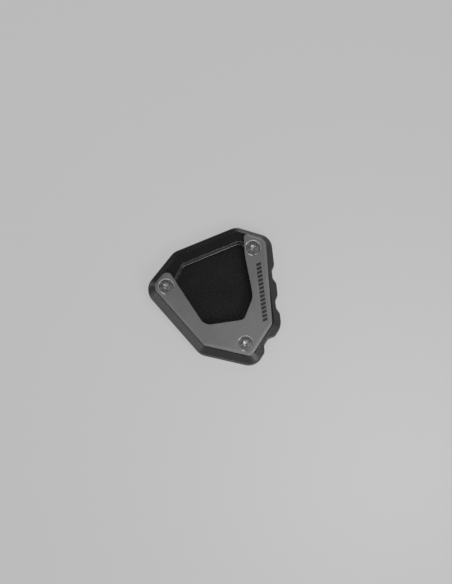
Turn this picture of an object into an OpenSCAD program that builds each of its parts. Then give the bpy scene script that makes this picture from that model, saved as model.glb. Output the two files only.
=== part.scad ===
// Kickstand foot enlarger: a wide base plate with a pocket, and a U-shaped clamp plate
// that three countersunk screws draw down over the pocket's edge.
// +X is right, +Y is the rear and +Z is up. The underside lies on Z = 0, and the
// origin is the middle of the base plate's outline.
// Each straight edge of an outline has a reach, its distance from one common datum.

/* [Base plate outline] */
// Reach of the front left edge
front_left_reach = 33.6; // [32:0.2:38]
// Reach of the front edge
front_reach = 40.8; // [39:0.2:45]
// Reach of the front right edge
front_right_reach = 48.8; // [47:0.2:52]
// Reach of the right edge
right_reach = 42.5; // [41:0.2:47]
// Reach of the rear right edge
rear_right_reach = 50.2; // [48:0.2:54]
// Reach of the rear left edge
rear_left_reach = 39.2; // [37:0.2:43]
// Reach of the left edge
left_reach = 41.3; // [39:0.2:45]
// Radius of the left corner
left_r = 10; // [5:0.5:11]
// Radius of the other corners
corner_r = 10; // [5:0.5:11]

/* [Base plate] */
// Thickness of the base plate
base_t = 10; // [8:0.5:14]
// Width of the slope around its top, in front and at the right
slope_w = 4.6; // [1:0.1:4.9]
// The same width at the rear right
rear_right_slope_w = 3; // [1:0.1:3.2]
// The same width at the rear left and the left
left_slope_w = 4.1; // [1:0.1:4.2]
// Height of that slope
slope_h = 3; // [1:0.1:4]
// Edge break around its underside
base_break = 0.8; // [0.3:0.1:1.2]

/* [Notches in the right side] */
// Width of a notch at its mouth
notch_mouth = 13.5; // [11:0.5:15]
// Width of its flat floor
notch_floor = 5.5; // [4:0.5:7]
// Depth of a notch in the front right edge
notch_depth = 2.9; // [1:0.1:3]
// Depth of a notch in the right edge
right_notch_depth = 2.1; // [1:0.1:3]
// Radius of its corners
notch_r = 2.5; // [1.5:0.1:3]
// Distance from the right corner to the middle of the nearest notch on either edge
notch_offset = 14.8; // [13:0.2:16]
// Distance from one notch to the next. They repeat on both edges as far as they fit.
notch_pitch = 20.9; // [19:0.1:22]

/* [Pocket] */
// Depth of the pocket
pocket_depth = 6; // [3:0.5:7]
// Width of the rim between the pocket and the base plate's rear left edge
rim_w = 10.6; // [8:0.2:13]
// Width of the rim at the front left
front_left_rim_w = 14.1; // [13.5:0.1:16]
// Width of the rim at the front
front_rim_w = 19.1; // [17.8:0.1:21]
// Width of the rim at the front right
front_right_rim_w = 22.5; // [21:0.1:23.5]
// Width of the rim at the right
right_rim_w = 15.6; // [14.5:0.1:16.4]
// Width of the rim at the rear right, beside the screw
rear_right_rim_w = 19.1; // [18.7:0.1:20]
// Width of the rim at the left
left_rim_w = 11.7; // [10.5:0.1:13.5]
// Radius of its left corner
pocket_left_r = 4; // [3:0.5:5]
// Radius of its front corner
pocket_front_r = 9; // [6:0.5:12]
// Radius of its front right corner
pocket_front_right_r = 6; // [4:0.5:8]
// Radius of its right corner
pocket_right_r = 14; // [8:0.5:16]
// Radius of the shallow bend behind it
pocket_bend_r = 20; // [10:1:30]
// Radius of its rear corners
pocket_rear_r = 5.5; // [4:0.5:7]
// Edge break around its mouth
pocket_break = 0.5; // [0.2:0.1:1]

/* [Clamp plate] */
// Thickness of the clamp plate
clamp_t = 4; // [3.6:0.1:6]
// Distance from the base plate's front left edge to the clamp plate
clamp_front_left_inset = 5; // [4.9:0.1:5.1]
// The same distance at the front edge
clamp_front_inset = 5.3; // [4.9:0.1:5.8]
// The same distance at the front right edge
clamp_front_right_inset = 5.4; // [4.9:0.1:6]
// The same distance at the right edge
clamp_right_inset = 5.3; // [4.9:0.1:6]
// The same distance at the rear right edge
clamp_rear_right_inset = 3.3; // [3.2:0.1:4.5]
// The same distance at the left edge
clamp_left_inset = 4.2; // [4.2:0.1:4.5]
// Overlap of the clamp plate over the pocket
lip = 1.8; // [0.5:0.1:2.5]
// Bevel around its outer edge
clamp_bevel = 1.5; // [0.5:0.1:1.8]
// Radius of its left corner
clamp_left_r = 5.5; // [3:0.5:6]
// Radius of its left arm's end
left_arm_end_r = 4; // [3:0.5:6]
// Radius of its front corners
clamp_front_r = 3; // [2.5:0.5:5]
// Radius of its right corners
clamp_right_r = 6; // [3:0.5:8]
// Radius of its right arm's inner end
right_arm_end_r = 2.5; // [2.2:0.1:4]

/* [Grip pattern on the right arm] */
// Number of engraved cells
cell_count = 15; // [5:1:15]
// Distance from one cell to the next
cell_pitch = 2.75; // [2.25:0.05:2.75]
// Length of a cell along the arm
cell_l = 2.05; // [0.8:0.05:2.2]
// Width of a cell across the arm
cell_w = 3.4; // [1:0.1:4]
// Slant of a cell's ends, along the arm
cell_slant = 1; // [0:0.1:1.5]
// Engraved depth
cell_depth = 0.4; // [0.1:0.05:0.8]
// Distance from the base plate's right edge to the middle of the row
cell_inset = 10.7; // [10:0.1:11]
// Distance from the base plate's right corner to the middle of the row
cell_offset = 23.3; // [22:0.1:24]

/* [Screws] */
// Nominal diameter of a screw
screw_d = 5; // [3:0.5:5.5]
// Distance from a screw's tip up to the underside's plane
tip_gap = 1.15; // [0.5:0.05:3]
// Diameter of its head
head_d = 9.4; // [8.5:0.1:10]
// Height of the short straight side of its head
head_land = 0.3; // [0.1:0.05:0.5]
// Depth of the head below the clamp plate's top
head_sink = 0.4; // [0:0.05:0.9]
// Width of its hexagon socket across the flats
socket_w = 3; // [2:0.1:4]
// Depth of the socket
socket_depth = 2; // [1:0.1:2.2]
// Distance from the left screw to the base plate's left edge
left_screw_inset = 11.6; // [11:0.1:12.5]
// Distance from the left screw to the front left edge
left_screw_front_inset = 12.1; // [11.8:0.1:13]
// Distance from the front screw to the front edge
front_screw_inset = 12.7; // [12:0.1:14]
// Distance from the front screw to the front right edge
front_screw_side_inset = 13.4; // [12.5:0.1:14]
// Distance from the rear screw to the rear right edge
rear_screw_inset = 11.6; // [11:0.1:13]
// Distance from the rear screw to the right edge
rear_screw_side_inset = 13.2; // [12.5:0.1:13.5]

/* [Clearances] */
// Gap around a screw's thread in the base plate
thread_gap = 0.05; // [0.02:0.01:0.1]
// Gap around a screw's shank in the clamp plate
shank_gap = 0.25; // [0.1:0.05:0.5]
// Gap between a screw's head and its countersink
seat_gap = 0.05; // [0.02:0.01:0.1]

/* [Hidden] */
$fn = 64;
// Largest turn from one point of a rounded corner to the next
arc_angle = 6;
// Radius that a corner keeps when its edges have moved past its centre
smallest_r = 0.05;
// How far a cutter stands out of what it cuts
skin = 0.5;

// An edge is [the direction it faces, its reach, the radius of the corner where it starts], and
// can also hold the width of the slope or bevel along it, which is 0 where there is none.
// Outlines run counter-clockwise, with the material on the left.
base_edges = [
    [221, front_left_reach, left_r, slope_w],
    [257, front_reach, corner_r, slope_w],
    [328, front_right_reach, corner_r, slope_w],
    [366.5, right_reach, corner_r, slope_w],
    [433, rear_right_reach, corner_r, rear_right_slope_w],
    [472.5, rear_left_reach, corner_r, left_slope_w],
    [501.5, left_reach, corner_r, left_slope_w],
];

// The corner where two edges meet
function meet(a, b) = [
    a[1] * sin(b[0]) - b[1] * sin(a[0]),
    b[1] * cos(a[0]) - a[1] * cos(b[0])
] / sin(b[0] - a[0]);

// How far along an edge a point lies, from the datum's foot on that edge
function along(edge, point) = point[1] * cos(edge[0]) - point[0] * sin(edge[0]);

// An edge moved in by inset, whose corner has radius r
function pull_in(edge, inset, r) = [edge[0], edge[1] - inset, r];

// Length of edge b from its corner with a to its corner with c
function span(a, b, c) = along(b, meet(b, c)) - along(b, meet(a, b));

// The turn from one edge to the next, from -180 to 180
function turn_of(a, b) = let (t = (b[0] - a[0]) % 360) t > 180 ? t - 360 : t <= -180 ? t + 360 : t;

// Length that the rounded corner from a to b takes from either edge
function tangent(a, b) = b[2] * tan(abs(turn_of(a, b)) / 2);

// The edges that are left when the ones cut off by their neighbours are gone
function kept(edges, i = 0) = i >= len(edges) ? edges : let (
    n = len(edges),
    length = span(edges[(i + n - 1) % n], edges[i], edges[(i + 1) % n])
) length > 0 ? kept(edges, i + 1) : kept([for (k = [0:n - 1]) if (k != i) edges[k]]);

// Share of its rounded corners that edge i has room for
function room(edges, i) = let (
    n = len(edges),
    a = edges[(i + n - 1) % n],
    b = edges[i],
    c = edges[(i + 1) % n]
) min(1, span(a, b, c) / (tangent(a, b) + tangent(b, c)));

// The edges with each corner as round as asked, or as its edges have room for
function fitted(all_edges) = let (edges = kept(all_edges), n = len(edges)) [
    for (i = [0:n - 1]) let (
        edge = edges[i],
        share = min(room(edges, i), room(edges, (i + n - 1) % n))
    ) [edge[0], edge[1], edge[2] * share, edge[3]]
];

// The edges of one notch, whose middle lies at m along its edge, and the rest of that edge
function notch(edge, m, depth) = let (slope = atan2(depth, (notch_mouth - notch_floor) / 2)) [
    [
        edge[0] + slope,
        edge[1] * cos(slope) + (m - notch_mouth / 2) * sin(slope),
        notch_r
    ],
    [edge[0], edge[1] - depth, notch_r],
    [
        edge[0] - slope,
        edge[1] * cos(slope) - (m + notch_mouth / 2) * sin(slope),
        notch_r
    ],
    [edge[0], edge[1], notch_r],
];

front_right_edge = base_edges[2];
right_edge = base_edges[3];
right_corner = meet(front_right_edge, right_edge);
right_corner_m = along(right_edge, right_corner);

// Half the length that a notch takes of its edge, with its rounded corners
notch_half = notch_mouth / 2 + notch_r;

// How far from the right corner the middles of an edge's notches lie. length is the edge's
// own, and far is what the rounded corner at its other end takes.
function notch_places(length, far) =
    [for (place = [notch_offset:notch_pitch:length - far - notch_half]) place];
front_right_places = notch_places(
    span(base_edges[1], front_right_edge, right_edge),
    tangent(base_edges[1], front_right_edge)
);
right_places = notch_places(
    span(front_right_edge, right_edge, base_edges[4]),
    tangent(right_edge, base_edges[4])
);
notched_edges = fitted(concat(
    [base_edges[0], base_edges[1], front_right_edge],
    [
        for (i = [len(front_right_places) - 1:-1:0])
            let (m = along(front_right_edge, right_corner) - front_right_places[i])
                each notch(front_right_edge, m, notch_depth)
    ],
    [right_edge],
    [for (place = right_places) each notch(right_edge, right_corner_m + place, right_notch_depth)],
    [base_edges[4], base_edges[5], base_edges[6]]
));
plain_edges = fitted(base_edges);

pocket_sides = [
    [213, front_left_reach - front_left_rim_w, pocket_left_r],
    [278.3, front_reach - front_rim_w, pocket_front_r],
    [338.4, front_right_reach - front_right_rim_w, pocket_front_right_r],
    [370.9, right_reach - right_rim_w, pocket_right_r],
    [363, right_reach - rear_right_rim_w, pocket_bend_r],
    [472.5, rear_left_reach - rim_w, pocket_rear_r],
    [512.9, left_reach - left_rim_w, pocket_rear_r],
];
pocket_edges = fitted(pocket_sides);

// The clamp plate's edge over side i of the pocket faces the other way, and its corners keep
// the same centres as the pocket's
function over(i) = let (side = pocket_sides[i], next = pocket_sides[i + 1])
    [side[0] + 180, lip - side[1], next[2] - sign(next[0] - side[0]) * lip];
right_arm_end = pocket_sides[4];
clamp_right_edge = [364.4, right_reach - clamp_right_inset, clamp_front_r];
clamp_outer_edges = [
    pull_in(base_edges[6], clamp_left_inset, left_arm_end_r),
    pull_in(base_edges[0], clamp_front_left_inset, clamp_left_r),
    pull_in(base_edges[1], clamp_front_inset, clamp_front_r),
    pull_in(front_right_edge, clamp_front_right_inset, clamp_front_r),
    clamp_right_edge,
    pull_in(base_edges[4], clamp_rear_right_inset, clamp_right_r),
];
clamp_inner_edges = [
    [right_arm_end[0] + 180, lip - right_arm_end[1], right_arm_end_r],
    over(3),
    over(2),
    over(1),
    over(0),
];
clamp_edges = fitted(concat(
    [for (edge = clamp_outer_edges) concat(edge, clamp_bevel)],
    [for (edge = clamp_inner_edges) concat(edge, 0)]
));

// Points of the rounded corner from edge a to edge b, when both have moved in by shift
function corner_points(a, b, shift) = let (
    turn = turn_of(a, b),
    side = sign(turn),
    r = max(b[2] - side * shift, smallest_r),
    corner = meet(a, b),
    steps = ceil(abs(turn) / arc_angle),
    bisector = a[0] + turn / 2,
    centre = corner - side * r / cos(turn / 2) * [cos(bisector), sin(bisector)]
) [
    for (k = [0:steps])
        centre + side * r * [cos(a[0] + turn * k / steps), sin(a[0] + turn * k / steps)]
];

// Points of an outline whose edges are moved in by shifts, one for each edge
function outline(edges, shifts) = let (
    n = len(edges),
    moved = [for (i = [0:n - 1]) pull_in(edges[i], shifts[i], edges[i][2])]
) [
    for (i = [0:n - 1])
        each corner_points(moved[(i + n - 1) % n], moved[i], min(shifts[i], shifts[(i + n - 1) % n]))
];
function same(edges, value) = [for (edge = edges) value];
function widths_of(edges) = [for (edge = edges) edge[3]];
function edge_outline(edges) = outline(edges, same(edges, 0));

base_outline = edge_outline(notched_edges);
function middle(values) = (min(values) + max(values)) / 2;
centring = [-middle([for (p = base_outline) p[0]]), -middle([for (p = base_outline) p[1]]), 0];
top_z = base_t + clamp_t;
head_z = top_z - head_sink;

// Where the screws stand
screw_places = [
    meet(
        pull_in(base_edges[6], left_screw_inset, 0),
        pull_in(base_edges[0], left_screw_front_inset, 0)
    ),
    meet(
        pull_in(base_edges[1], front_screw_inset, 0),
        pull_in(base_edges[2], front_screw_side_inset, 0)
    ),
    meet(
        pull_in(right_edge, rear_screw_side_inset, 0),
        pull_in(base_edges[4], rear_screw_inset, 0)
    ),
];

// Cutter that bevels the edge of an outline at height z. Widths holds one width per edge, side
// is 1 on an outer edge or -1 on the edge of a pocket, and up is 1 on a top face or -1 below.
// Along an edge of no width the cutter stays outside.
module edge_cutter(edges, widths, height, z, side, up) {
    over_share = skin / max(widths);
    over_cut = over_share * height;
    outside = [for (w = widths) side * (w > 0 ? -w * over_share : -skin)];
    inside = [for (w = widths) side * (w > 0 ? w * (1 + over_share) : -skin / 2)];
    rings = [
        [outside, z - up * (height + over_cut)],
        [outside, z + up * over_cut],
        [inside, z + up * over_cut],
    ];
    loops = [for (ring = rings) [for (p = outline(edges, ring[0])) [p[0], p[1], ring[1]]]];
    n = len(loops[0]);
    faces = [
        for (k = [0:2])
            for (i = [0:n - 1])
                let (l = (k + 1) % 3, j = (i + 1) % n)
                    side * up > 0
                        ? [k * n + i, l * n + i, l * n + j, k * n + j]
                        : [k * n + j, l * n + j, l * n + i, k * n + i]
    ];
    polyhedron(points = [for (loop = loops) each loop], faces = faces, convexity = 6);
}

module at_screws() {
    for (place = screw_places) {
        translate([place[0], place[1], 0]) children();
    }
}

module base_plate() {
    hole_r = screw_d / 2 + thread_gap;
    color([0.1, 0.1, 0.11]) translate(centring) difference() {
        linear_extrude(base_t) polygon(base_outline);
        edge_cutter(plain_edges, widths_of(plain_edges), slope_h, base_t, 1, 1);
        edge_cutter(notched_edges, same(notched_edges, base_break), base_break, 0, 1, -1);
        translate([0, 0, base_t - pocket_depth])
            linear_extrude(pocket_depth + skin) polygon(edge_outline(pocket_edges));
        edge_cutter(pocket_edges, same(pocket_edges, pocket_break), pocket_break, base_t, -1, 1);
        at_screws() {
            translate([0, 0, -skin]) cylinder(r = hole_r, h = base_t + 2 * skin);
            translate([0, 0, -skin])
                cylinder(r1 = hole_r + base_break + skin, r2 = hole_r, h = base_break + skin);
        }
    }
}

module clamp_plate() {
    // Radius of the countersink where it meets the clamp plate's top
    sink_r = head_d / 2 + seat_gap + head_sink + head_land;
    shank_r = screw_d / 2 + shank_gap;
    color([0.5, 0.51, 0.53]) translate(centring) difference() {
        translate([0, 0, base_t]) linear_extrude(clamp_t) polygon(edge_outline(clamp_edges));
        edge_cutter(clamp_edges, widths_of(clamp_edges), clamp_bevel, top_z, 1, 1);
        at_screws() {
            translate([0, 0, base_t - skin]) cylinder(r = shank_r, h = clamp_t + 2 * skin);
            translate([0, 0, top_z - sink_r])
                cylinder(r1 = 0, r2 = sink_r + skin, h = sink_r + skin);
        }
        grip_pattern();
    }
}

// A row of slanted cells along the right arm, parallel to the base plate's right edge
module grip_pattern() {
    row = pull_in(right_edge, cell_inset, 0);
    row_middle = right_corner_m + cell_offset;
    rotate([0, 0, row[0]]) translate([row[1], row_middle, top_z - cell_depth])
        for (i = [0:cell_count - 1]) {
            translate([0, (i - (cell_count - 1) / 2) * cell_pitch, 0])
                linear_extrude(cell_depth + skin) polygon([
                    [-cell_w / 2, (-cell_l - cell_slant) / 2],
                    [cell_w / 2, (-cell_l + cell_slant) / 2],
                    [cell_w / 2, (cell_l + cell_slant) / 2],
                    [-cell_w / 2, (cell_l - cell_slant) / 2],
                ]);
        }
}

// A countersunk socket screw, standing where its place says
module screw(place) {
    head_r = head_d / 2;
    shank_r = screw_d / 2;
    tip_break = shank_r / 5;
    cone_h = head_r - shank_r;
    screw_l = head_z - tip_gap;
    socket_r = socket_w / 2 / cos(30);
    color([0.75, 0.75, 0.74]) translate(centring)
        translate([place[0], place[1], head_z]) difference() {
            rotate_extrude() polygon([
                [0, 0],
                [head_r, 0],
                [head_r, -head_land],
                [shank_r, -head_land - cone_h],
                [shank_r, tip_break - screw_l],
                [shank_r - tip_break, -screw_l],
                [0, -screw_l],
            ]);
            translate([0, 0, -socket_depth])
                cylinder(r = socket_r, h = socket_depth + skin, $fn = 6);
            translate([0, 0, -socket_depth - socket_w / 4])
                cylinder(r1 = 0, r2 = socket_w / 2, h = socket_w / 4);
        }
}

base_plate();
clamp_plate();
screw(screw_places[0]);  // left_screw
screw(screw_places[1]);  // front_screw
screw(screw_places[2]);  // rear_screw
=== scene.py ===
"""Looks of the kickstand foot enlarger: a black base plate, a grey clamp plate and three screws.

The outlines are worked out from the same facings and reaches as in part.scad. Lengths are in
millimetres until a mesh is made, and heights are above the ground."""

import math
from typing import NamedTuple

import bpy
import numpy as np
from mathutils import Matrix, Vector
from mathutils.geometry import delaunay_2d_cdt


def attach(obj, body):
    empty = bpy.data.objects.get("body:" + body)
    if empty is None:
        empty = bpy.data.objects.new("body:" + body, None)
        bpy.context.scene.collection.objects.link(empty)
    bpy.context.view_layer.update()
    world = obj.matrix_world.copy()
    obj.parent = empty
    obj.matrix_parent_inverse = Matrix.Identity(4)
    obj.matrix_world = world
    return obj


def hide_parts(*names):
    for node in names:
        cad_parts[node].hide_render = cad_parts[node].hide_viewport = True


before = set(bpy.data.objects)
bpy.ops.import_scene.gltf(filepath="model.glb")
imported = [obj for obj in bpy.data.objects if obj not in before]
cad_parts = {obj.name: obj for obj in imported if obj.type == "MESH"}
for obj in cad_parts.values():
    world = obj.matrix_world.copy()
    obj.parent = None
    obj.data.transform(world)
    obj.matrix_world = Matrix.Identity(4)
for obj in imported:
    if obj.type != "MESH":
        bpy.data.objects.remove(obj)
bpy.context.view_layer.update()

MM = 0.001
# From the outlines' datum to the part's own middle
CENTRING = np.array([0.551757, -0.376665])
# Keeps the outermost faces a hair inside the solid's
HAIR = 0.01

# The base plate, with the sizes of part.scad
BASE_T = 10.0
BASE_BREAK = 0.8
SLOPE_H, SLOPE_W, REAR_RIGHT_SLOPE_W, LEFT_SLOPE_W = 3.0, 4.6, 3.0, 4.1
SLOPE_Z = BASE_T - SLOPE_H
POCKET_Z, POCKET_BREAK = 4.0, 0.5
NOTCH_MOUTH, NOTCH_FLOOR, NOTCH_R = 13.5, 5.5, 2.5
NOTCH_OFFSET, NOTCH_PITCH = 14.8, 20.9
THREAD_HOLE_R = 2.55

# The clamp plate, with the sizes of part.scad
TOP_Z = 14.0
BEVEL, INNER_BREAK = 1.5, 0.15
SHANK_HOLE_R, SINK_R = 2.75, 5.45
CELL_COUNT, CELL_PITCH, CELL_L, CELL_W, CELL_SLANT = 15, 2.75, 2.05, 3.4, 1.0
CELL_DEPTH, CELL_INSET, CELL_OFFSET = 0.4, 10.7, 23.3

# The screws, with the sizes of part.scad
SCREW_R, TIP_Z = 2.5, 1.15
HEAD_R, HEAD_Z, HEAD_LAND = 4.7, 13.6, 0.3
SOCKET_R, SOCKET_DEPTH = 1.5, 2.0

# What the screws have here alone: a thread, a bevelled mouth of the socket and a drilled hollow in it
SHANK_R, SHANK_TOP_Z = SCREW_R - 0.02, 9.6
THREAD_START, THREAD_TOP_Z, THREAD_PITCH, THREAD_STEPS = 0.5, 9.3, 0.8, 8
GROOVE_DEPTH, GROOVE_SPREAD = 0.42, 0.42
# Radii of the rounded tip, with the height of each above it
TIP = [(1.2, 0.0), (1.75, 0.0), (1.95, 0.1), (2.1, 0.3)]
MOUTH_R, MOUTH_BREAK_R, MOUTH_BREAK, MOUTH_SLOPE = 1.88, 1.82, 0.03, 0.7
SOCKET_ROUNDING = 0.05
DRILL_R, DRILL_TIP_R, DRILL_DEPTH = 1.35, 0.3, 2.5

# How finely round things are made
HOLE_SIDES, SCREW_SIDES, CELL_CORNER_STEPS, SLOPE_ROWS = 64, 48, 4, 16
NOTCH_STEP, NOTCH_STEP_END = 0.3, 0.1

# Which of its piece's materials a face has
MAIN = 0
# The upright side of the base has its own material, a duller black whose weaker reflection is painted
# shade
MILLED, SIDE_PAINTED_SHADE = 1, 2
CELL, SINK = 1, 2
SOCKET = 1


def toward(degrees):
    """The direction at an angle in the plan."""
    a = math.radians(degrees)
    return np.array([math.cos(a), math.sin(a)])


class Edge(NamedTuple):
    """A straight edge of an outline: which way it faces, its reach from the datum, the radius of the
    corner where it starts, and the width of its slope, bevel or edge break."""

    facing: float
    reach: float
    radius: float = 0.0
    width: float = 0.0

    @property
    def normal(self):
        return toward(self.facing)

    @property
    def along(self):
        """Its own direction, with the material at the left."""
        x, y = self.normal
        return np.array([-y, x])

    def inward(self, inset):
        return self._replace(reach=self.reach - inset)


BASE = [
    Edge(221, 33.6, 10, SLOPE_W), Edge(257, 40.8, 10, SLOPE_W), Edge(328, 48.8, 10, SLOPE_W),
    Edge(366.5, 42.5, 10, SLOPE_W), Edge(433, 50.2, 10, REAR_RIGHT_SLOPE_W),
    Edge(472.5, 39.2, 10, LEFT_SLOPE_W), Edge(501.5, 41.3, 10, LEFT_SLOPE_W),
]
FRONT_LEFT, FRONT, FRONT_RIGHT, RIGHT, REAR_RIGHT, REAR_LEFT, LEFT = range(len(BASE))
POCKET = [
    Edge(213, 19.5, 4), Edge(278.3, 21.7, 9), Edge(338.4, 26.3, 6), Edge(370.9, 26.9, 14),
    Edge(363, 23.4, 20), Edge(472.5, 28.6, 5.5), Edge(512.9, 29.6, 5.5),
]
CLAMP = [
    Edge(501.5, 37.1, 4, BEVEL), Edge(221, 28.6, 5.5, BEVEL), Edge(257, 35.5, 3, BEVEL),
    Edge(328, 43.4, 3, BEVEL), Edge(364.4, 37.2, 3, BEVEL), Edge(433, 46.9, 6, BEVEL),
    Edge(543, -21.6, 2.5, INNER_BREAK), Edge(550.9, -25.1, 21.8, INNER_BREAK),
    Edge(518.4, -24.5, 12.2, INNER_BREAK), Edge(458.3, -19.9, 4.2, INNER_BREAK),
    Edge(393, -17.7, 7.2, INNER_BREAK),
]


def meet(a, b):
    """The corner where two edges meet."""
    return np.linalg.solve(np.array([a.normal, b.normal]), np.array([a.reach, b.reach]))


def turn_of(a, b):
    """The angle from one edge to the next, negative in an inner corner."""
    turn = (b.facing - a.facing) % 360
    return turn - 360 if turn > 180 else turn


def bend(before, edge, steps):
    """The rounded corner where an edge starts, as points with their outward normals."""
    turn = turn_of(before, edge)
    r = math.copysign(edge.radius, turn)
    outward = toward(before.facing + turn / 2)
    centre = meet(before, edge) - r / math.cos(math.radians(turn / 2)) * outward
    normals = [toward(before.facing + turn * (k / steps)) for k in range(steps + 1)]
    return [(centre + r * normal, normal) for normal in normals]


def raised(plan, z):
    """Points of the plan at height z, which may be one height for all or one for each."""
    return np.column_stack([plan, np.broadcast_to(z, len(plan))])


def circle(place, r, sides):
    """Points of the plan around a place. The radius may differ around it."""
    a = np.arange(sides) * 2 * math.pi / sides
    return np.column_stack([r * np.cos(a), r * np.sin(a)]) + place + CENTRING


# Where each screw stands: its inset from two edges of the base plate
SCREWS = {
    "left": meet(BASE[LEFT].inward(11.6), BASE[FRONT_LEFT].inward(12.1)),
    "front": meet(BASE[FRONT].inward(12.7), BASE[FRONT_RIGHT].inward(13.4)),
    "rear": meet(BASE[RIGHT].inward(13.2), BASE[REAR_RIGHT].inward(11.6)),
}


class Loop:
    """A closed outline as samples: points, outward normals, the width of the slope or bevel, and the
    depth of a notch."""

    def __init__(self, edges, arc_step, spacing, notches=None):
        samples = []
        for i, edge in enumerate(edges):
            before, after = edges[i - 1], edges[(i + 1) % len(edges)]
            # The rounded corner where this edge starts, along which the width changes
            steps = max(3, math.ceil(abs(turn_of(before, edge)) / arc_step))
            for k, (point, normal) in enumerate(bend(before, edge, steps)):
                share = k / steps
                ease = share * share * (3 - 2 * share)
                samples.append((point, normal, before.width + (edge.width - before.width) * ease, 0.0))
            # The straight stretch to the next corner, without its two ends
            tangent = after.radius * math.tan(math.radians(abs(turn_of(edge, after)) / 2))
            start, end = edge.along @ point, edge.along @ meet(edge, after) - tangent
            places = notches(i) if notches else []
            if places:
                stretch = np.arange(start + NOTCH_STEP, end - NOTCH_STEP_END, NOTCH_STEP)
            else:
                count = max(1, round((end - start) / spacing))
                stretch = [start + (end - start) * k / count for k in range(1, count)]
            for m in stretch:
                deepest = max([0.0] + [notch_depth(m - at, depth) for at, depth in places])
                point = edge.normal * edge.reach + edge.along * m
                samples.append((point, edge.normal, edge.width, deepest))
        self.points, self.normals, self.widths, self.depths = map(np.array, zip(*samples))

    def ring(self, inset, z):
        """Points of the outline moved in by inset, at height z. Either may differ along the outline."""
        insets = np.broadcast_to(inset, len(self.points))[:, None]
        return raised(self.points - self.normals * insets + CENTRING, z)


def notch_depth(offset, depth):
    """How deep a notch is at this distance from its middle, along the edge."""
    u = abs(offset)
    slope = math.atan2(depth, (NOTCH_MOUTH - NOTCH_FLOOR) / 2)
    tangent = NOTCH_R * math.tan(slope / 2)
    reach = NOTCH_R * math.sin(slope)
    bend_start, mouth = NOTCH_FLOOR / 2 - tangent, NOTCH_MOUTH / 2 + tangent
    if u <= bend_start:
        return depth
    if u >= mouth:
        return 0.0
    if u < bend_start + reach:
        return depth - NOTCH_R + math.sqrt(NOTCH_R ** 2 - (u - bend_start) ** 2)
    if u > mouth - reach:
        return NOTCH_R - math.sqrt(NOTCH_R ** 2 - (mouth - u) ** 2)
    return depth - (u - NOTCH_FLOOR / 2) * math.tan(slope)


def base_notches(i):
    """The middles and depths of the notches in edge i of the base plate."""
    corner = BASE[i].along @ meet(BASE[FRONT_RIGHT], BASE[RIGHT])
    if i == FRONT_RIGHT:
        return [(corner - NOTCH_OFFSET, 2.9)]
    if i == RIGHT:
        return [(corner + NOTCH_OFFSET, 2.1), (corner + NOTCH_OFFSET + NOTCH_PITCH, 2.1)]
    return []


def rounded(corners, fine=4):
    """A profile through (inset, height, radius) corners, with each corner rounded by fine + 1 points.
    Gives (inset, height, worn) rows, where worn is 1 from a point on a rounding to the next."""
    rows = []
    for i, (x, z, r) in enumerate(corners):
        here = np.array([x, z], float)
        if r == 0 or i in (0, len(corners) - 1):
            rows.append((x, z, 0))
            continue
        a = np.array(corners[i - 1][:2], float) - here
        b = np.array(corners[i + 1][:2], float) - here
        a /= np.linalg.norm(a)
        b /= np.linalg.norm(b)
        half = math.acos(max(-1, min(1, a @ b))) / 2
        tangent = r / math.tan(half)
        centre = here + (a + b) / np.linalg.norm(a + b) * r / math.sin(half)
        first, last = here + a * tangent - centre, here + b * tangent - centre
        sweep = math.acos(max(-1, min(1, (first @ last) / r ** 2)))
        for k in range(fine + 1):
            t = k / fine
            spoke = math.sin((1 - t) * sweep) * first + math.sin(t * sweep) * last
            rows.append((*(centre + spoke / math.sin(sweep)), 1 if k < fine else 0))
    return rows


def inside(polygon, points):
    """Which points lie inside a closed polygon."""
    x, y = points[:, 0], points[:, 1]
    result = np.zeros(len(points), bool)
    for (x1, y1), (x2, y2) in zip(polygon, np.roll(polygon, -1, axis=0)):
        if y1 != y2:
            result ^= ((y1 > y) != (y2 > y)) & (x < (x2 - x1) * (y - y1) / (y2 - y1) + x1)
    return result


def sides_of(triangle):
    """The three sides of a triangle, each as a set of two corners."""
    return [frozenset(side) for side in zip(triangle, (*triangle[1:], triangle[0]))]


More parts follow.
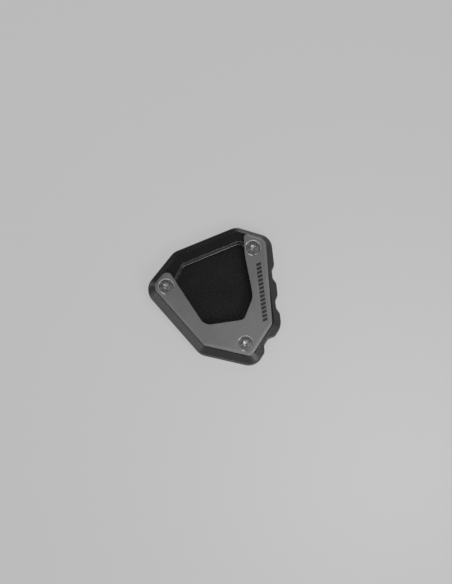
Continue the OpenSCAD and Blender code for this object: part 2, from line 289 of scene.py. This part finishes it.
class Build:
    """Collects rings of points, strips of faces between them and flat faces with holes."""

    SMALLEST = 0.001

    def __init__(self):
        self.points, self.faces, self.worn, self.zones = [], [], [], []

    def ring(self, rows):
        """Adds points, and gives their indices."""
        first = len(self.points)
        self.points.extend(tuple(row) for row in rows)
        return list(range(first, first + len(rows)))

    def face(self, corners, worn=0, zone=MAIN):
        self.faces.append(corners)
        self.worn.append(worn)
        self.zones.append(zone)

    def strip(self, a, b, worn=0, zone=MAIN):
        """Faces from one ring of indices to another."""
        for i in range(len(a)):
            j = (i + 1) % len(a)
            self.face((a[i], a[j], b[j], b[i]), worn, zone)

    def skin(self, rings, worn=None, zones=None, after=None):
        """Strips through rings of points, from the ring of indices after if there is one. Gives the
        indices of the first and the last ring."""
        made = [after] if after else []
        made += [self.ring(ring) for ring in rings]
        for k in range(len(made) - 1):
            self.strip(made[k], made[k + 1], worn[k] if worn else 0, zones[k] if zones else MAIN)
        return made[0], made[-1]

    def flat(self, outer, holes, up, zone=MAIN):
        """A flat face inside one ring and outside others."""
        loops = [outer] + holes
        ids = [i for loop in loops for i in loop]
        plan = np.array([self.points[i][:2] for i in ids])
        outlines, borders, first = [], [], 0
        for loop in loops:
            n = len(loop)
            outlines.append(plan[first:first + n])
            borders += [(first + i, first + (i + 1) % n) for i in range(n)]
            first += n
        made = delaunay_2d_cdt([Vector(p) for p in plan], borders, [], 0, 1e-7)
        spots, lines, triangles, origins, sources = made[:5]
        given = {frozenset(line) for line, source in zip(lines, sources) if source}
        beside = {}
        for k, t in enumerate(triangles):
            for side in sides_of(t):
                beside.setdefault(side, []).append(k)
        middles = np.array([[sum(spots[v][k] for v in t) / 3 for k in (0, 1)] for t in triangles])
        keep = inside(outlines[0], middles)
        for hole_outline in outlines[1:]:
            keep &= ~inside(hole_outline, middles)
        areas = [
            abs((spots[t[1]] - spots[t[0]]).cross(spots[t[2]] - spots[t[0]])) for t in triangles
        ]
        # Triangles that no given edge parts are kept or dropped together, as the largest of them is.
        # Those that lie in one line with the outline are dropped.
        left = set(range(len(triangles)))
        while left:
            region, ahead = [], [max(left, key=lambda k: areas[k])]
            left.discard(ahead[0])
            while ahead:
                k = ahead.pop()
                region.append(k)
                for side in sides_of(triangles[k]):
                    if side not in given:
                        ahead += [other for other in beside[side] if other in left]
                        left.difference_update(beside[side])
            if keep[region[0]] and areas[region[0]] > self.SMALLEST:
                for k in region:
                    corners = [ids[origins[v][0]] for v in triangles[k]]
                    self.face(tuple(corners if up else corners[::-1]), zone=zone)

    def piece(self, name, materials, place=(0, 0)):
        """The mesh as an object, whose own origin stands at place on the ground."""
        origin = np.array([*place, 0.0])
        mesh = bpy.data.meshes.new(name)
        mesh.from_pydata([tuple((np.array(p) - origin) * MM) for p in self.points], [], self.faces)
        mesh.polygons.foreach_set("use_smooth", [True] * len(self.faces))
        mesh.polygons.foreach_set("material_index", self.zones)
        worn = mesh.attributes.new("worn", "FLOAT", "FACE")
        worn.data.foreach_set("value", self.worn)
        for material in materials:
            mesh.materials.append(material)
        mesh.validate()
        piece = bpy.data.objects.new(name, mesh)
        piece.location = origin * MM
        bpy.context.scene.collection.objects.link(piece)
        # Large faces look flat right up to the roundings beside them
        modifier = piece.modifiers.new("normals", "WEIGHTED_NORMAL")
        modifier.keep_sharp = True
        modifier.weight = 70
        return piece


def hole(build, place, corners, cone=MAIN):
    """A round hole through (radius, height, rounding) corners, whose sloped faces are of material
    cone. Gives its first and last ring."""
    rows = rounded(corners, 3)
    rings = [raised(circle(place, r, HOLE_SIDES), z) for r, z, _ in rows]
    zones = [
        cone if min(abs(b[0] - a[0]), abs(b[1] - a[1])) > 0.5 else MAIN
        for a, b in zip(rows, rows[1:])
    ]
    return build.skin(rings, [row[2] for row in rows], zones)


def base_profile(width):
    """Rows from the underside to the top, past a slope of this width that several rows cross."""
    below = rounded([
        (2.2, 0, 0), (BASE_BREAK, 0, 0.25), (0, BASE_BREAK, 0.3), (0, SLOPE_Z, 0.6),
        (width, BASE_T, 0),
    ])[:-1]
    above = rounded([(0, SLOPE_Z, 0), (width, BASE_T, 0.3), (width + 0.2, BASE_T, 0)])[1:]
    (x1, z1, _), (x2, z2, _) = below[-1], above[0]
    steps = [k / (SLOPE_ROWS + 1) for k in range(1, SLOPE_ROWS + 1)]
    return below + [(x1 + (x2 - x1) * t, z1 + (z2 - z1) * t, 0) for t in steps] + above


def joined(a, b):
    """The larger of two insets, with a rounded edge where they meet."""
    width = np.maximum(np.minimum(1.0, np.minimum(a, b)), 1e-6)
    near = np.maximum(width - np.abs(a - b), 0) / width
    return np.maximum(a, b) + near * near * width / 4


def base_mesh():
    build = Build()
    outline = Loop(BASE, arc_step=2.5, spacing=2.5, notches=base_notches)
    # One profile for each width of the slope, with the same number of rows
    profiles = {width: base_profile(width) for width in set(outline.widths)}
    table = np.array([profiles[width] for width in outline.widths])
    rings = []
    for x, z in zip(table[:, :, 0].T, table[:, :, 1].T):
        on_slope = max(z) >= SLOPE_Z - 0.5
        inset = joined(outline.depths, x) if on_slope else outline.depths + x
        rings.append(outline.ring(inset + HAIR, z))
    # The upright side, which ends a little below the slope, gets a duller copy of the black material:
    # its weaker reflection is painted shade, standing in for the shaded ground in front that it would
    # mirror
    heights = table[:, 1:, 1].max(axis=0)
    zones = [SIDE_PAINTED_SHADE if height < SLOPE_Z - 0.2 else MAIN for height in heights]
    bottom, top = build.skin(rings, list(table[0, :, 2]), zones)

    pocket = Loop(POCKET, arc_step=3, spacing=3)
    rows = rounded([
        (1.0, BASE_T, 0), (POCKET_BREAK, BASE_T, 0.15), (0, BASE_T - POCKET_BREAK, 0.2),
        (0, POCKET_Z, 0.8), (-1.6, POCKET_Z, 0),
    ])
    mouth, floor = build.skin([pocket.ring(-x, z) for x, z, _ in rows])
    build.flat(floor, [], True, MILLED)

    above, below = [], []
    for place in SCREWS.values():
        first, last = hole(build, place, [
            (THREAD_HOLE_R + 0.2, BASE_T, 0), (THREAD_HOLE_R, BASE_T, 0.1),
            (THREAD_HOLE_R, BASE_BREAK, 0.1), (THREAD_HOLE_R + BASE_BREAK, 0, 0.1),
            (THREAD_HOLE_R + 1.3, 0, 0),
        ])
        above.append(first)
        below.append(last)
    build.flat(top, [mouth] + above, True)
    build.flat(bottom, below, False, MILLED)
    return build


def cells():
    """The corners of each engraved cell, counter-clockwise."""
    edge = BASE[RIGHT]
    row = edge.normal * (edge.reach - CELL_INSET)
    start = edge.along @ meet(BASE[FRONT_RIGHT], edge) + CELL_OFFSET
    for i in range(CELL_COUNT):
        middle = start + (i - (CELL_COUNT - 1) / 2) * CELL_PITCH
        yield [
            row + edge.normal * (x * CELL_W / 2)
            + edge.along * (middle + (y * CELL_L + x * CELL_SLANT) / 2)
            for x, y in ((-1, -1), (1, -1), (1, 1), (-1, 1))
        ]


def cell_outline(corners, inset, r):
    """Points of a cell's outline moved in by inset, with corners of radius r."""
    edges = []
    for a, b in zip(corners, corners[1:] + corners[:1]):
        along = (b - a) / np.linalg.norm(b - a)
        normal = np.array([along[1], -along[0]])
        edges.append(Edge(math.degrees(math.atan2(*normal[::-1])), normal @ a - inset, r))
    bends = [bend(edges[i - 1], edge, CELL_CORNER_STEPS) for i, edge in enumerate(edges)]
    return np.array([point for points in bends for point, _ in points]) + CENTRING


def clamp_mesh():
    build = Build()
    outline = Loop(CLAMP, arc_step=5, spacing=3)
    # One profile for each width of the bevel, with the same number of rows
    profiles = {}
    for width in sorted(set(outline.widths)):
        r = min(0.11, 0.3 * width)
        profiles[width] = np.array(rounded([
            (0.6, BASE_T, 0), (0.12, BASE_T, 0.04), (0, BASE_T + 0.12, 0.04),
            (0, TOP_Z - width, r * 2), (width, TOP_Z, r), (width + 0.05, TOP_Z, 0),
        ]))
    table = np.array([profiles[width] for width in outline.widths])
    rings = [
        outline.ring(table[:, k, 0] + HAIR, table[:, k, 1]) for k in range(table.shape[1])
    ]
    bottom, top = build.skin(rings, list(table[0, :, 2]))

    above, below = [], []
    cone_low = TOP_Z - SINK_R + SHANK_HOLE_R
    for place in SCREWS.values():
        first, last = hole(build, place, [
            (SINK_R + 0.05, TOP_Z, 0), (SINK_R, TOP_Z, 0.08), (SHANK_HOLE_R, cone_low, 0.1),
            (SHANK_HOLE_R, BASE_T, 0.1), (SHANK_HOLE_R + 0.4, BASE_T, 0),
        ], SINK)
        above.append(first)
        below.append(last)

    # The inset, height and corner radius of each row of a cell, and the finish from there to the next
    cell_z = TOP_Z - CELL_DEPTH
    rows = [
        (-0.06, TOP_Z, 0.36, MAIN), (-0.02, TOP_Z - 0.01, 0.34, MAIN), (0, TOP_Z - 0.06, 0.32, CELL),
        (0.04, cell_z + 0.1, 0.3, CELL), (0.08, cell_z + 0.02, 0.28, CELL), (0.16, cell_z, 0.24, CELL),
    ]
    for corners in cells():
        rings = [raised(cell_outline(corners, inset, r), z) for inset, z, r, _ in rows]
        mouth, floor = build.skin(rings, zones=[row[3] for row in rows])
        above.append(mouth)
        build.flat(floor, [], True, CELL)
    build.flat(top, above, True)
    build.flat(bottom, below, False)
    return build


def screw_mesh(place):
    """A countersunk socket screw with a thread, around place."""
    def ring(r, z):
        return raised(circle(place, r, SCREW_SIDES), z)

    build = Build()
    angles = np.arange(SCREW_SIDES) * 2 * math.pi / SCREW_SIDES
    head = rounded([
        (SHANK_R, SHANK_TOP_Z, 0), (SHANK_R, HEAD_Z - HEAD_LAND - (HEAD_R - SCREW_R), 0.3),
        (HEAD_R, HEAD_Z - HEAD_LAND, 0.08), (HEAD_R, HEAD_Z, 0.14), (MOUTH_R, HEAD_Z, 0.05),
        (MOUTH_BREAK_R, HEAD_Z - MOUTH_BREAK, 0),
    ])
    shank_top, mouth = build.skin([ring(r, z) for r, z, _ in head], [row[2] for row in head])

    # The socket: a cone that runs into six flats, which go down to a drilled bottom
    hexagon = SOCKET_R / np.cos((angles % (math.pi / 3)) - math.pi / 6)
    cone_z = HEAD_Z - MOUTH_BREAK - (MOUTH_BREAK_R - hexagon) * MOUTH_SLOPE
    bottom_z = HEAD_Z - SOCKET_DEPTH
    socket = [
        ring(hexagon, cone_z), ring(hexagon, cone_z - 0.08),
        ring(hexagon, bottom_z + SOCKET_ROUNDING), ring(hexagon - SOCKET_ROUNDING, bottom_z),
        ring(DRILL_R, bottom_z), ring(DRILL_TIP_R, HEAD_Z - DRILL_DEPTH),
    ]
    _, drill_tip = build.skin(socket, zones=[SOCKET] * len(socket), after=mouth)
    build.flat(drill_tip, [], True, SOCKET)

    # The thread: one helix of rings, whose crest climbs by one pitch a turn and fades at both ends
    low = TIP_Z + THREAD_START
    levels = int((THREAD_TOP_Z - low) / THREAD_PITCH * THREAD_STEPS)
    shank = [ring(r, TIP_Z + rise) for r, rise in TIP]
    for k in range(levels + 1):
        z = low + (THREAD_TOP_Z - low) * k / levels
        phase = ((z - low) / THREAD_PITCH - angles / (2 * math.pi)) % 1.0
        groove = np.clip(1 - np.abs(phase - 0.5) / GROOVE_SPREAD, 0, 1)
        fade = min(1.0, (THREAD_TOP_Z - z) / THREAD_PITCH, (z - low) / (THREAD_PITCH / 2) + 0.2)
        shank.append(ring(SHANK_R - GROOVE_DEPTH * groove * fade, z))
    tip, thread_top = build.skin(shank)
    build.strip(thread_top, shank_top)
    build.flat(tip, [], False)
    return build


class Tree:
    """The shader nodes of a material or of the world, with a short way to add each kind."""

    def __init__(self, owner):
        owner.use_nodes = True
        self.nodes, self.links = owner.node_tree.nodes, owner.node_tree.links

    def feed(self, socket, value):
        """Sets an input to a value, or links it from an output."""
        if isinstance(value, bpy.types.NodeSocket):
            self.links.new(value, socket)
        else:
            socket.default_value = value

    def node(self, kind, **inputs):
        """A new node, whose inputs are named with _ for a space."""
        made = self.nodes.new("ShaderNode" + kind)
        for name, value in inputs.items():
            self.feed(made.inputs[name.replace("_", " ")], value)
        return made

    def place(self, stretch=(1, 1, 1), turn=0.0):
        """The place on the object, stretched and turned around its vertical axis."""
        coordinates = self.node("TexCoord").outputs["Object"]
        return self.node(
            "Mapping", Vector=coordinates, Scale=stretch, Rotation=(0, 0, turn)
        ).outputs["Vector"]

    def noise(self, vector, scale, detail, rough):
        return self.node(
            "TexNoise", Vector=vector, Scale=scale, Detail=detail, Roughness=rough
        ).outputs["Fac"]

    def span(self, value, low, high, out_low, out_high):
        """The value moved from one range to another, and held inside it."""
        return self.node(
            "MapRange", Value=value, From_Min=low, From_Max=high, To_Min=out_low, To_Max=out_high
        ).outputs["Result"]

    def maths(self, operation, a, b=0.0):
        made = self.node("Math")
        made.operation = operation
        self.feed(made.inputs[0], a)
        self.feed(made.inputs[1], b)
        return made.outputs["Value"]

    def blend(self, factor, a, b):
        """A colour between two others, each a triple or an output."""
        made = self.node("Mix")
        made.data_type = "RGBA"
        self.feed(made.inputs["Factor"], factor)
        for name, colour in (("A", a), ("B", b)):
            socket = next(s for s in made.inputs if s.name == name and s.type == "RGBA")
            self.feed(socket, (*colour, 1) if isinstance(colour, tuple) else colour)
        return next(s for s in made.outputs if s.type == "RGBA")

    def bump(self, height, strength, distance, onto=None):
        made = self.node("Bump", Height=height, Strength=strength, Distance=distance)
        if onto:
            self.feed(made.inputs["Normal"], onto)
        return made.outputs["Normal"]

    def worn(self, vector, amount):
        """1 where an edge has rubbed through, in patches, and 0 elsewhere."""
        attribute = self.node("Attribute")
        attribute.attribute_name = "worn"
        patches = self.noise(vector, 130.0, 4.0, 0.6)
        rubbed = self.span(patches, 0.62 - amount, 0.72, 0.0, 1.0)
        return self.maths("MULTIPLY", attribute.outputs["Fac"], rubbed)


def surface(name):
    """A new material, its nodes and its shader."""
    made = bpy.data.materials.new(name)
    tree = Tree(made)
    return made, tree, tree.nodes["Principled BSDF"]


def anodised(name, dark, light, bare, roughness, ior, metallic=0.0, wear=0.06, grain=0.14,
             lines=None):
    """Bead-blasted and anodised aluminium: a fine pebbled grain, soft mottling and rubbed edges.
    Where there are lines, they are a stretch, an angle and a strength."""
    made, tree, shader = surface(name)
    place = tree.place()
    mottle = tree.noise(place, 55.0, 4.0, 0.55)
    speckle = tree.noise(place, 1900.0, 2.0, 0.6)
    tone = tree.maths(
        "ADD", tree.maths("MULTIPLY", mottle, 0.65), tree.maths("MULTIPLY", speckle, 0.35)
    )
    colour = tree.blend(tree.span(tone, 0.36, 0.64, 0.0, 1.0), dark, light)
    colour = tree.blend(tree.worn(place, wear), colour, bare)
    normal = tree.bump(tree.noise(place, 5200.0, 2.0, 0.5), grain, 0.00006)
    if lines:
        stretch, turn, strength = lines
        scratches = tree.noise(tree.place(stretch, turn), 900.0, 3.0, 0.6)
        normal = tree.bump(scratches, strength, 0.00004, normal)
    tree.feed(shader.inputs["Base Color"], colour)
    tree.feed(shader.inputs["Roughness"],
              tree.span(speckle, 0.3, 0.7, roughness - 0.06, roughness + 0.07))
    tree.feed(shader.inputs["Metallic"], metallic)
    tree.feed(shader.inputs["IOR"], ior)
    tree.feed(shader.inputs["Normal"], normal)
    return made


def turned(name, darker, lighter, roughness):
    """Bare metal with the fine rings that turning leaves around its own axis."""
    made, tree, shader = surface(name)
    place = tree.place()
    axes = tree.node("SeparateXYZ", Vector=place).outputs
    square = tree.maths(
        "ADD", tree.maths("MULTIPLY", axes["X"], axes["X"]),
        tree.maths("MULTIPLY", axes["Y"], axes["Y"]),
    )
    rings = tree.node("TexNoise", Scale=9000.0, Detail=2.0)
    rings.noise_dimensions = "1D"
    tree.feed(rings.inputs["W"], tree.maths("SQRT", square))
    stain = tree.noise(place, 420.0, 3.0, 0.55)
    colour = tree.blend(tree.span(stain, 0.35, 0.65, 0.0, 1.0), darker, lighter)
    tree.feed(shader.inputs["Base Color"], colour)
    tree.feed(shader.inputs["Roughness"],
              tree.span(stain, 0.3, 0.7, roughness - 0.05, roughness + 0.05))
    tree.feed(shader.inputs["Metallic"], 1.0)
    tree.feed(shader.inputs["Normal"], tree.bump(rings.outputs["Fac"], 0.1, 0.00002))
    return made


BLACK_DARK, BLACK_LIGHT = (0.003, 0.003, 0.0035), (0.0058, 0.0058, 0.0066)
BLACK_BARE = (0.05, 0.05, 0.052)
black = anodised("black_anodised", BLACK_DARK, BLACK_LIGHT, BLACK_BARE, roughness=0.25, ior=1.65)
black_milled = anodised(
    "black_milled", BLACK_DARK, (0.0065, 0.0065, 0.0073), BLACK_BARE, roughness=0.28, ior=1.6,
    grain=0.08, lines=((0.04, 1, 1), math.radians(22), 0.2),
)
# The same black with a weaker, rougher reflection, for the upright side: painted shade, in place of the
# shaded ground it would mirror
black_side_painted_shade = anodised("black_side_painted_shade", BLACK_DARK, BLACK_LIGHT, BLACK_BARE, roughness=0.45, ior=1.35)
grey = anodised(
    "grey_anodised", (0.131, 0.132, 0.135), (0.163, 0.164, 0.167), (0.30, 0.30, 0.305),
    roughness=0.4, ior=1.5, metallic=0.3, wear=0.10, grain=0.3,
    lines=((1, 0.06, 1), math.radians(-48), 0.12),
)
engraved = anodised(
    "engraved", (0.008, 0.008, 0.009), (0.016, 0.016, 0.018), (0.03, 0.03, 0.03),
    roughness=0.5, ior=1.5, wear=0.0, grain=0.4,
)
steel = turned("turned_steel", (0.38, 0.38, 0.385), (0.5, 0.5, 0.505), 0.28)
bare_socket = turned("bare_socket", (0.36, 0.36, 0.365), (0.44, 0.44, 0.445), 0.5)
bare_cut = turned("bare_cut", (0.38, 0.385, 0.39), (0.5, 0.505, 0.51), 0.3)

base = base_mesh().piece("plate_base", [black, black_milled, black_side_painted_shade])
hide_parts("base_plate")
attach(base, "root")

clamp = clamp_mesh().piece("plate_clamp", [grey, engraved, bare_cut])
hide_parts("clamp_plate")
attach(clamp, "root")

for side, place in SCREWS.items():
    screw = screw_mesh(place).piece("screw_" + side, [steel, bare_socket], place + CENTRING)
    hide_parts(side + "_screw")
    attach(screw, "root")

# Most of the floor's brightness is its own, so that it is even and shadows on it stay pale
FLOOR_HALF, FLOOR_DROP = 3.0, 0.00002
FLOOR_TONE, FLOOR_GLOW, FLOOR_SPECKLE = 0.515, 0.85, 0.04
floor_mesh = bpy.data.meshes.new("floor")
floor_mesh.from_pydata(
    [(x * FLOOR_HALF, y * FLOOR_HALF, 0) for x, y in ((-1, -1), (1, -1), (1, 1), (-1, 1))],
    [], [(0, 1, 2, 3)],
)
floor = bpy.data.objects.new("floor", floor_mesh)
bpy.context.scene.collection.objects.link(floor)
floor.location = (0, 0, -FLOOR_DROP)
pale, tree, shader = surface("pale_floor")
lit = FLOOR_TONE * (1 - FLOOR_GLOW)
tree.feed(shader.inputs["Base Color"], tree.blend(
    tree.noise(tree.place(), 900.0, 2.0, 0.5),
    (lit * (1 - FLOOR_SPECKLE),) * 3, (lit * (1 + FLOOR_SPECKLE),) * 3,
))
shader.inputs["Roughness"].default_value = 0.9
shader.inputs["Specular IOR Level"].default_value = 0.1
shader.inputs["Emission Color"].default_value = (FLOOR_TONE, FLOOR_TONE, FLOOR_TONE, 1)
shader.inputs["Emission Strength"].default_value = FLOOR_GLOW
floor_mesh.materials.append(pale)

# The sky's level at each height of a direction
SKY = [(0.0, 0.8), (0.14, 0.75), (0.35, 0.59), (0.55, 0.42), (0.8, 0.05)]
world = bpy.data.worlds.new("studio")
bpy.context.scene.world = world
studio = Tree(world)
direction = studio.node(
    "SeparateXYZ", Vector=studio.node("TexCoord").outputs["Generated"]
).outputs
sky = studio.node("ValToRGB", Fac=direction["Z"])
stops = sky.color_ramp.elements
while len(stops) < len(SKY):
    stops.new(0.5)
for stop, (height, level) in zip(stops, SKY):
    stop.position = height
    stop.color = (level, level, level, 1)


def dimmed(azimuth, near, far, level):
    """1 away from azimuth, and falling to level in its direction."""
    x, y = toward(azimuth)
    across = studio.maths(
        "ADD", studio.maths("MULTIPLY", direction["X"], float(x)),
        studio.maths("MULTIPLY", direction["Y"], float(y)),
    )
    return studio.span(across, near, far, 1.0, level)


# Less light comes from the rear left, and a little less from the right
background = studio.nodes["Background"]
studio.feed(background.inputs["Color"], sky.outputs["Color"])
studio.feed(background.inputs["Strength"], studio.maths(
    "MULTIPLY", dimmed(118, 0.2, 0.95, 0.12), dimmed(337, 0.72, 0.92, 0.68)
))


def lamp(name, azimuth, elevation, size, power, distance=1.4, target=(0, 0, 0)):
    """A round lamp that points at target from this direction, and isn't seen itself."""
    light = bpy.data.lights.new(name, "AREA")
    light.shape = "DISK"
    light.size = size
    light.energy = power
    made = bpy.data.objects.new(name, light)
    a, e = math.radians(azimuth), math.radians(elevation)
    outward = Vector((math.cos(e) * math.cos(a), math.cos(e) * math.sin(a), math.sin(e)))
    made.location = Vector(target) + outward * distance
    made.rotation_euler = outward.to_track_quat("Z", "Y").to_euler()
    made.visible_camera = False
    bpy.context.scene.collection.objects.link(made)


lamp("key_left", 215, 50, 0.8, 3.8)
lamp("key_right", 318, 52, 0.16, 0.56, 0.25, (0.03, -0.035, 0.01))
lamp("key_rear", 70, 50, 0.8, 2.6)
lamp("top", 270, 74, 0.35, 1.0)
lamp("glow_left", 211, 24, 0.7, 0.6)
lamp("glow_front", 255, 10, 0.8, 0.9)
lamp("glow_right", 337, 3, 0.5, 1.25)
lamp("glow_side", 150, 18, 0.6, 0.8)
lamp("glow_rear", 75, 12, 0.6, 5)

# The photograph is 452 pixels wide, and one of them covers 0.683 mm
SHOT_W = 452 * 0.683
SENSOR_W, CAMERA_DISTANCE, CAMERA_ELEVATION = 36.0, 3.0, math.radians(80)
CAMERA_TARGET = Vector((7.89, 2.65, 7.0)) * MM
camera_data = bpy.data.cameras.new("camera")
camera_data.sensor_fit = "HORIZONTAL"
camera_data.sensor_width = SENSOR_W
camera_data.lens = SENSOR_W * CAMERA_DISTANCE / (SHOT_W * MM)
camera_data.clip_end = 50.0
camera = bpy.data.objects.new("camera", camera_data)
backward = Vector((0, -math.cos(CAMERA_ELEVATION), math.sin(CAMERA_ELEVATION)))
camera.location = CAMERA_TARGET + CAMERA_DISTANCE * backward
camera.rotation_euler = (math.pi / 2 - CAMERA_ELEVATION, 0, 0)
bpy.context.scene.collection.objects.link(camera)
bpy.context.scene.camera = camera

bpy.context.scene.view_settings.view_transform = "Standard"
